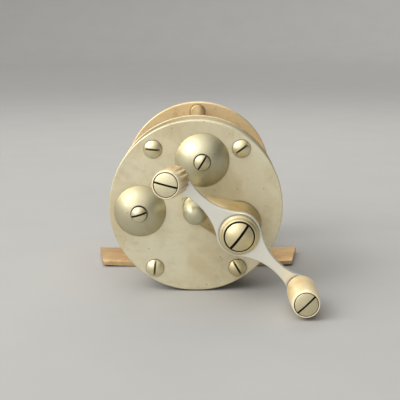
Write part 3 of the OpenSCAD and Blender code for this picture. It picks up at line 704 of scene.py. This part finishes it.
def pillar_mesh(name, r):
    """A turned pillar with a bead and a cove near each end, centred on z = 0."""
    end, shank, cove = GAP_END, r - 0.35, r - 0.65
    half = [
        (0, end), (r - 0.05, end), (r, end - 0.25), (r, end - 1.0), (cove, end - 1.5),
        (cove, end - 2.2), (shank, end - 3.0), (shank, end - 3.5)]
    profile = [(a, -z) for a, z in half] + [(a, z) for a, z in reversed(half)]
    return turned(name, profile, ROUND, 0.3)


def make_pillars():
    """The five pillars; the two lower ones carry the foot."""
    for node in ("pillar_top", "pillar_left", "pillar_right", "foot_pillar_left", "foot_pillar_right"):
        x, u, r = spot(node)
        piece(f"{node}_bar", pillar_mesh(node, r), place(x, u, 0), "frame", node,
              PILLAR_SHADED_LOOK)


def make_tail_plate():
    """The back plate: a rim and a middle boss round a sunk floor, on its outer side."""
    inner, boss_foot, boss_top = PLATE_R - RIM_W, 5.9, 5.0
    profile = [
        (0, TAIL_FACE), (PLATE_R, TAIL_FACE), (PLATE_R, TAIL_BACK), (inner, TAIL_BACK),
        (inner, TAIL_FLOOR), (boss_foot, TAIL_FLOOR), (boss_top, TAIL_BACK), (0, TAIL_BACK)]
    mesh = turned("tail_plate", profile[::-1], FINE, 0.35)
    mesh = carved(mesh, rod_mesh(BEARING_HOLE, TAIL_BACK - PAST, TAIL_FACE + PAST))
    piece("tail_plate_disc", mesh, place(), "frame", "tail_plate",
          LOOKS["tarnished_nickel"])


def make_tail_screws():
    """A screw into the end of each pillar, each slot left at its own angle."""
    head_r, head_h, shank_l, slot_w, slot_d = 1.9, 1.2, 6.8, 0.55, 0.74
    turns = {"pillar_top": 20, "pillar_left": 75, "pillar_right": 140, "foot_pillar_left": 100,
             "foot_pillar_right": 160}
    for node, angle in turns.items():
        x, u, _ = spot(node)
        mesh = slotted_head("tail_screw", head_r, head_h, SCREW_R, shank_l, slot_w, slot_d, angle)
        piece(f"tail_screw_{node}", mesh, place_tail(x, u, TAIL_FLOOR), "frame", "tail_screws",
              LOOKS["warm_nickel"], 0.05)


def make_tail_cap():
    """The slotted cap over the tail bearing, hollow at its foot."""
    r, wall, crown, bore_r, bore_top, foot_z = 4.4, 1.4, 2.8, 2.45, 2.6, 0.1
    slot_w, slot_d, slot_angle = 0.8, 0.9, 25
    profile = [(0, bore_top), (bore_r, bore_top), (bore_r, foot_z), (r, foot_z)]
    profile += [(a, z + wall) for a, z in dome_profile(r, crown)]
    mesh = turned("tail_cap", profile, 96, 0.18)
    top = wall + crown
    slot = prism("slot", bar_outline(2 * r + 3.2, slot_w, slot_angle), top - slot_d, top + PAST)
    mesh = carved(mesh, slot)
    piece("tail_cap_dome", mesh, place_tail(0, 0, TAIL_BACK), "tail_cap", "tail_bearing_cap",
          LOOKS["nickel_silver"], 0.08)


def foot_outline(length, width, slant, corner=0.9):
    """The foot seen from above: its ends slant, so the head side is shorter. Corners are rounded."""
    half_w, head, tail = width / 2, length / 2 - slant, length / 2
    corners = [(-head, -half_w), (head, -half_w), (tail, half_w), (-tail, half_w)]
    around = [corners[-1]] + corners + [corners[0]]
    outline = []
    for before, here, after in zip(around, around[1:], around[2:]):
        outline += soften([before, here, after], corner)[1:-1]
    return [(p.x, p.y) for p in outline]


def wedge(name, section, x0, x1):
    """A cross-section of (y, z) points drawn along the foot from x0 to x1."""
    mesh = prism(name, section, x0, x1)
    mesh.transform(Matrix(((0, 0, 1, 0), (1, 0, 0, 0), (0, 1, 0, 0), (0, 0, 0, 1))))
    return mesh


def make_foot():
    """A bar with bevelled top edges and tips that turn up a little."""
    low, high = box_mm("reel_foot")
    length, width, top = high.x - low.x, high.y - low.y, high.z
    thick, slant, bevel_w, bevel_h, relief_h, bend_l, over = 2.0, 3.0, 1.4, 0.7, 1.0, 14.0, 1.0
    head_r, shank_r, head_d = 2.05, 1.06, 1.1
    mesh = prism("reel_foot", foot_outline(length, width, slant), low.z, top)
    cutters = []
    for side in (-1, 1):
        edge, inner = side * width / 2, side * (width / 2 - bevel_w)
        slope = bevel_h / bevel_w
        section = [
            (edge + side * over, top - bevel_h - slope * over), (edge + side * over, top + over),
            (inner - side * over / slope, top + over)]
        cutters.append(wedge("bevel", section[::side], low.x - over, high.x + over))
    for x, y in foot_screw_spots():
        sunk = [(0, -over), (head_r + 0.3, -over), (head_r, 0), (shank_r, head_d), (shank_r, 3), (0, 3)]
        well = turned("well", sunk, 48, 0)
        well.transform(Matrix.Translation((x, y, 0)))
        cutters.append(well)
    tip, bend = length / 2, length / 2 - bend_l
    below = [(-bend, 0), (bend, 0), (tip + over, relief_h * (1 + over / bend_l)), (tip + over, -over),
             (-tip - over, -over), (-tip - over, relief_h * (1 + over / bend_l))]
    rise = (top - thick) * (1 + over / bend_l)
    above = [(-bend, thick), (-tip - over, thick + rise), (-tip - over, top + over),
             (tip + over, top + over), (tip + over, thick + rise), (bend, thick)]
    for section in (below[::-1], above[::-1]):
        layer = prism("layer", section, -width, width)
        layer.transform(Matrix.Rotation(math.pi / 2, 4, "X"))
        cutters.append(layer)
    mesh = carved(mesh, *cutters)
    piece("reel_foot_bar", mesh, Matrix.Scale(MM, 4), "frame", "reel_foot",
          FOOT_LOOK, 0.22)


def foot_screw_spots():
    """Two screws under each of the lower pillars."""
    x, reach = spot("foot_pillar_right")[0], 4.5
    return [(side * x, y) for side in (-1, 1) for y in (-reach, reach)]


def make_foot_screws():
    """Countersunk screws, flush with the foot's underside."""
    head_r, head_h, shank_r, length, slot_w, slot_d = 2.0, 1.05, 1.0, 6.8, 0.5, 0.5
    profile = [(0, 0), (head_r, 0), (shank_r, head_h), (shank_r, length), (0, length)]
    for i, (x, y) in enumerate(foot_screw_spots(), 1):
        mesh = turned("foot_screw", profile, 48, 0.06)
        mesh = carved(mesh, prism("slot", bar_outline(3 * head_r, slot_w, 25 * i), -PAST, slot_d))
        matrix = Matrix.Scale(MM, 4) @ Matrix.Translation((x, y, 0))
        piece(f"foot_screw_{i}", mesh, matrix, "frame", "foot_screws", LOOKS["tool_steel"])


def make_saddles():
    """Two blocks that bed the lower pillars on the foot, waisted along their sides."""
    waist, steps = 0.7, 12
    for node in ("foot_saddle_left", "foot_saddle_right"):
        low, high = box_mm(node)
        centre, half_w, half_l = (low + high) / 2, (high.x - low.x) / 2, (high.y - low.y) / 2
        outline = []
        for side in (1, -1):
            for i in range(steps + 1):
                t = 2 * i / steps - 1
                pinch = waist * (1 - t * t)
                outline.append((side * (half_w - pinch), side * t * half_l))
        mesh = prism(node, outline, low.z, high.z)
        matrix = Matrix.Scale(MM, 4) @ Matrix.Translation((centre.x, centre.y, 0))
        piece(f"{node}_block", mesh, matrix, "frame", node, LOOKS["tarnished_nickel"],
              0.3)


# ---------------------------------------------------------------- spool

def make_spool():
    """The drum that the line is wound on, and a flange with a turned bead at each end of it."""
    low, high = box_mm("spool_arbor")
    end, collar, r, bore_r = -low.y, (high.x - low.x) / 2, 5.0, 1.5
    half = [
        (bore_r, end), (collar, end), (collar - 0.5, end - 0.35), (r + 0.15, end - 0.9), (r, end - 1.6)]
    profile = [(a, -z) for a, z in half] + [(a, z) for a, z in reversed(half)]
    mesh = turned("arbor", profile, 96, 0.2, closed=True)
    piece("spool_arbor_drum", mesh, place(), "spool", "spool_arbor",
          LOOKS["tarnished_nickel"])
    for node, put in (("head_flange", place), ("tail_flange", place_tail)):
        low, high = box_mm(node)
        r, thick = (high.x - low.x) / 2, high.y - low.y
        profile = [
            (bore_r, 0), (r - 1.2, 0), (r - 0.8, 0.12), (r - 0.35, 0), (r, 0.2), (r, thick - 0.2),
            (r - 0.35, thick), (r - 1.4, thick), (r - 1.7, thick - 0.12), (r - 2.0, thick),
            (bore_r, thick)]
        mesh = turned(node, profile, FINE, 0.12, closed=True)
        start = -high.y if node == "head_flange" else -low.y
        piece(f"{node}_disc", mesh, put(0, 0, start), "spool", node,
              LOOKS["tarnished_nickel"])


# ---------------------------------------------------------------- crank

def arm_outline():
    """A round hub and two round ends joined by concave sides, along X."""
    hub_r, end_r, side_r = 6.35, 3.5, 18.3
    hub, end = hub_r + side_r, end_r + side_r
    side_x = (hub * hub - end * end + THROW * THROW) / (2 * THROW)
    side_y = math.sqrt(hub * hub - side_x * side_x)
    hub_angle = math.atan2(side_y, side_x)
    end_angle = math.atan2(side_y, side_x - THROW)
    from_angle = math.atan2(-side_y, -side_x)
    to_angle = math.atan2(-side_y, THROW - side_x)

    def arc(x, y, r, start, stop, steps):
        angles = (start + (stop - start) * i / steps for i in range(steps + 1))
        return [(x + r * math.cos(a), y + r * math.sin(a)) for a in angles]

    half = arc(0, 0, hub_r, math.pi - hub_angle, hub_angle, 24)
    half += arc(side_x, side_y, side_r, from_angle, to_angle, 28)[1:]
    half += arc(THROW, 0, end_r, end_angle, -end_angle, 40)[1:]
    half += arc(side_x, -side_y, side_r, -to_angle, -from_angle, 28)[1:-1]
    outline = half + [(-x, -y) for x, y in half]
    return outline[::-1]


def make_crank_arm():
    """The waisted bar on the crank shaft's square, with a hole for a grip's post at each end."""
    thick, square_w, post_hole = ARM_OUT - ARM_IN, 2.64, 1.31
    mesh = prism("crank_arm", arm_outline(), 0, thick)
    through = (-PAST, thick + PAST)
    cutters = [prism("square", bar_outline(square_w, square_w, 0), *through)]
    cutters += [rod_mesh(post_hole, *through, x) for x in (THROW, -THROW)]
    mesh = carved(mesh, *cutters)
    piece("crank_arm_bar", mesh, place(*CRANK, ARM_IN, ARM_ANGLE), "crank", "crank_arm",
          LOOKS["bright_nickel"], 0.28)


def make_crank_bush():
    """The bush that the crank's shaft turns in; its flange lies on the boss."""
    low, high = box_mm("crank_bush")
    top, start = -low.y, -high.y
    flange, bore_r, r, flange_foot = (high.x - low.x) / 2, 2.05, 3.1, top - 1.5
    profile = [
        (bore_r, start), (r, start), (r, flange_foot), (flange, flange_foot), (flange, top),
        (bore_r, top)]
    mesh = turned("crank_bush", profile, 96, 0.3, closed=True)
    piece("crank_bush_flange", mesh, place(*CRANK), "frame", "crank_bush",
          LOOKS["warm_nickel"])


def make_crank_collar():
    """The stepped collar on the arm, and the big domed screw that sits in it."""
    r, top, bore_r, seat_d = 5.75, 2.9, 0.85, 0.8
    profile = [
        (bore_r, 0), (r, 0), (r, 0.9), (5.55, 1.3), (5.25, 1.45), (5.08, 1.5), (5.02, 2.1),
        (4.9, 2.65), (4.65, top), (4.45, top), (4.28, top - 0.3), (4.25, top - seat_d),
        (bore_r, top - seat_d)]
    mesh = turned("crank_collar", profile, FINE // 2, 0.12, closed=True)
    piece("crank_collar_ring", mesh, place(*CRANK, ARM_OUT), "crank", "crank_collar",
          LOOKS["warm_nickel"])
    head_r, height, shank_r, shank_l, slot_w, slot_d, side = 4.05, 2.5, 0.8, 7.1, 0.78, 1.65, 0.45
    mesh = slotted_head("crank_screw", head_r, height, shank_r, shank_l, slot_w, slot_d, 53, side)
    matrix, slot_floor = place(*CRANK, ARM_OUT + top - seat_d), height - slot_d
    look = screw_look("crank_screw_nickel", matrix, slot_floor + 0.05, slot_floor + 0.3, (232, 220, 178),
                      0.44)
    piece("crank_screw_head", mesh, matrix, "crank", "crank_screw", look, 0.05)


def grip_frame(joint, lean_gap):
    """From a grip's own millimetres, z = 0 at its arm end, to the row frame."""
    clearance = 0.25
    x, u = joint_spot(joint)
    axis = Vector(JOINTS[joint]["axis"]).normalized()
    out = Vector((-axis.x, -axis.z, axis.y))
    lean = Vector((0, 0, 1)).rotation_difference(out).to_matrix().to_4x4()
    return place(x, u, ARM_OUT + clearance) @ lean @ Matrix.Translation((0, 0, lean_gap))


def worn(mesh, lobes, depth, fade):
    """Presses shallow uneven flutes into a barrel's side, deepest at its arm end."""
    inside_r = 3.6
    for vertex in mesh.vertices:
        x, y, z = vertex.co
        r, a = math.hypot(x, y), math.atan2(y, x)
        if r < inside_r:
            continue
        uneven = 0.7 + 0.2 * math.sin(3 * a + 0.7) + 0.1 * math.sin(7 * a + 2.1 + 0.4 * z)
        flute = 0.5 - 0.5 * math.cos(lobes * a + 0.35 * math.sin(2.3 * z))
        keep = 1 - depth * uneven * flute * max(0.0, 1 - z / fade) ** 0.7 / r
        vertex.co = (x * keep, y * keep, z)


def make_grip(which, joint, lean_gap, bone, slot_angle):
    """A barrel of bone with a big flush screw in its end."""
    length, r, bore_r, screw_r, screw_t, crown = 15.0, 4.25, 1.35, 3.35, 1.7, 0.4
    well_r, floor = screw_r + 0.08, length - screw_t - 0.1
    profile = [
        (bore_r, 0), (r - 0.35, 0), (r - 0.1, 0.45), (r, 1.4), (r, 2.6), (r, 3.8), (r, 5.0),
        (r - 0.02, 6.5), (r - 0.05, 8.0), (r - 0.15, 11.0), (r - 0.3, 13.6), (r - 0.42, 14.6),
        (r - 0.62, length), (well_r, length), (well_r, floor), (bore_r, floor)]
    matrix = grip_frame(joint, lean_gap)
    mesh = turned(f"{which}_grip", profile, FINE, 0.22, closed=True)
    if which == "upper":
        worn(mesh, lobes=17, depth=0.7, fade=13.5)
    piece(f"{which}_grip_barrel", mesh, matrix, f"grip_{which}", f"{which}_grip", bone)
    edge_r, shank_r, shank_l, slot_w, slot_d = screw_r - 0.1, 0.7, 4.5, 0.55, 1.1
    head = [(0, -shank_l), (shank_r, -shank_l), (shank_r, 0), (edge_r, 0), (edge_r, screw_t - 0.12)]
    head += [(a, z + screw_t) for a, z in dome_profile(edge_r - 0.14, crown, 10)]
    mesh = turned("grip_screw", head, 96, 0.1)
    top = screw_t + crown
    mesh = carved(mesh, prism("slot", bar_outline(9, slot_w, slot_angle), top - slot_d, top + PAST))
    matrix = matrix @ Matrix.Translation((0, 0, length - screw_t))
    look = screw_look(f"{which}_grip_screw_nickel", matrix, top - 1.0, top - 0.6)
    piece(f"{which}_grip_screw_head", mesh, matrix, "crank", f"{which}_grip_screw",
          look, 0.06)


# ---------------------------------------------------------------- stage

def make_stage():
    """A level pale floor that curves up into a low wall at the back and sides, open at the front."""
    start, bend, rim, rise = 1.3, 0.35, 4.0, 0.5
    open_from, open_over = 0.3, 0.4    # how the wall dies away towards the front
    flat_steps, bend_steps, sides = 4, 10, 96
    line = [(start * i / flat_steps, 0.0) for i in range(1, flat_steps + 1)]
    for i in range(1, bend_steps + 1):
        a = math.pi / 2 * i / bend_steps
        line.append((start + bend * math.sin(a), bend * (1 - math.cos(a))))
    line += [(start + bend, rise), (rim, rise)]
    points, faces = [(0.0, 0.0, 0.0)], []
    for r, z in line:
        for i in range(sides):
            a = 2 * math.pi * i / sides
            ahead = min(1.0, max(0.0, (-math.sin(a) - open_from) / open_over))
            wall = 1 - ahead * ahead * (3 - 2 * ahead)
            points.append((r * math.cos(a), r * math.sin(a), z * wall))
    faces += [[0, 1 + i, 1 + (i + 1) % sides] for i in range(sides)]
    for k in range(len(line) - 1):
        inner, outer = 1 + k * sides, 1 + (k + 1) * sides
        for i in range(sides):
            j = (i + 1) % sides
            faces.append([inner + i, outer + i, outer + j, inner + j])
    mesh = make_mesh("sweep", points, faces)
    mesh.shade_smooth()
    paper = Finish("sweep_paper")
    tone = paper.mix((0.43, 0.43, 0.425, 1), (0.39, 0.39, 0.385, 1), paper.noise(30, 3))
    mesh.materials.append(paper.finish(Base_Color=tone, Roughness=0.9))
    sweep = bpy.data.objects.new("sweep", mesh)
    SCENE.collection.objects.link(sweep)


def make_light(name, where, size, power, colour):
    """A rectangular lamp that points at the middle of the reel."""
    aim = (0, -0.02, 0.026)
    data = bpy.data.lights.new(name, "AREA")
    data.shape = "RECTANGLE"
    data.size, data.size_y = size
    data.energy = power
    data.color = colour
    lamp = bpy.data.objects.new(name, data)
    lamp.location = where
    lamp.rotation_euler = (Vector(aim) - Vector(where)).to_track_quat("-Z", "Y").to_euler()
    SCENE.collection.objects.link(lamp)


def make_world():
    """Soft studio air: bright ahead and to the left, dim behind, to the right and below."""
    world = bpy.data.worlds.new("studio")
    world.use_nodes = True
    nodes, links = world.node_tree.nodes, world.node_tree.links
    direction = nodes.new("ShaderNodeTexCoord").outputs["Generated"]
    side = nodes.new("ShaderNodeVectorMath")
    side.operation = "DOT_PRODUCT"
    side.inputs[1].default_value = Vector((-0.62, -0.42, 0.66)).normalized()
    links.new(direction, side.inputs[0])
    ramp = nodes.new("ShaderNodeMapRange")
    ramp.interpolation_type = "SMOOTHSTEP"
    for key, value in {"From Min": -0.1, "From Max": 0.95, "To Min": 0.02, "To Max": 1.5}.items():
        ramp.inputs[key].default_value = value
    links.new(side.outputs["Value"], ramp.inputs["Value"])
    nodes["Background"].inputs["Color"].default_value = (1.0, 0.985, 0.95, 1)
    links.new(ramp.outputs["Result"], nodes["Background"].inputs["Strength"])
    SCENE.world = world


def make_lights():
    """A large key ahead, above and to the left, and a weaker rim light from behind."""
    make_light("key", (-0.42, -0.30, 0.44), (0.46, 0.40), 2.5, (1.0, 0.98, 0.94))
    make_light("rim", (0.05, 0.40, 0.42), (0.40, 0.20), 0.8, (1.0, 0.96, 0.88))
    SCENE.view_settings.view_transform = "Standard"


def make_camera():
    """A long lens in front of the head plate, a little above it and to the crank's side."""
    azimuth, elevation, roll = math.radians(0.56), math.radians(11.37), math.radians(-0.38)
    distance, lens, sensor = 0.2709, 81.65, 36.0
    aim = Vector((1.25 * MM, -FACE * MM, (AXIS_Z + 2.1) * MM))
    ahead = Vector((-math.sin(azimuth) * math.cos(elevation), math.cos(azimuth) * math.cos(elevation),
                    -math.sin(elevation)))
    right = Vector((math.cos(azimuth), math.sin(azimuth), 0))
    up = right.cross(ahead)
    tilted = math.cos(roll) * right + math.sin(roll) * up
    upright = tilted.cross(ahead)
    axes = Matrix((tilted, upright, -ahead)).transposed().to_4x4()
    data = bpy.data.cameras.new("camera")
    data.lens, data.sensor_width = lens, sensor
    data.clip_start, data.clip_end = 0.01, 10
    camera = bpy.data.objects.new("camera", data)
    camera.matrix_world = Matrix.Translation(aim - ahead * distance) @ axes
    SCENE.collection.objects.link(camera)
    SCENE.camera = camera


make_camera()
make_stage()
make_world()
make_lights()
make_head_cover()
make_head_ring()
make_gear_plate()
make_cover_screws()
make_dome("click_dome", "click_turn")
make_dome("drag_dome", "drag_turn")
make_adjuster("click_screw", "click_turn", "click", 17)
make_adjuster("drag_screw", "drag_turn", "drag_knob", 58)
make_crank_boss()
make_head_cap()
make_pillars()
make_tail_plate()
make_tail_screws()
make_tail_cap()
make_foot()
make_foot_screws()
make_saddles()
make_spool()
make_crank_arm()
make_crank_bush()
make_crank_collar()
make_grip("upper", "upper_grip_spin", 0.5, UPPER_BONE, -14)
make_grip("lower", "lower_grip_spin", 0.0, LOWER_BONE, 44)
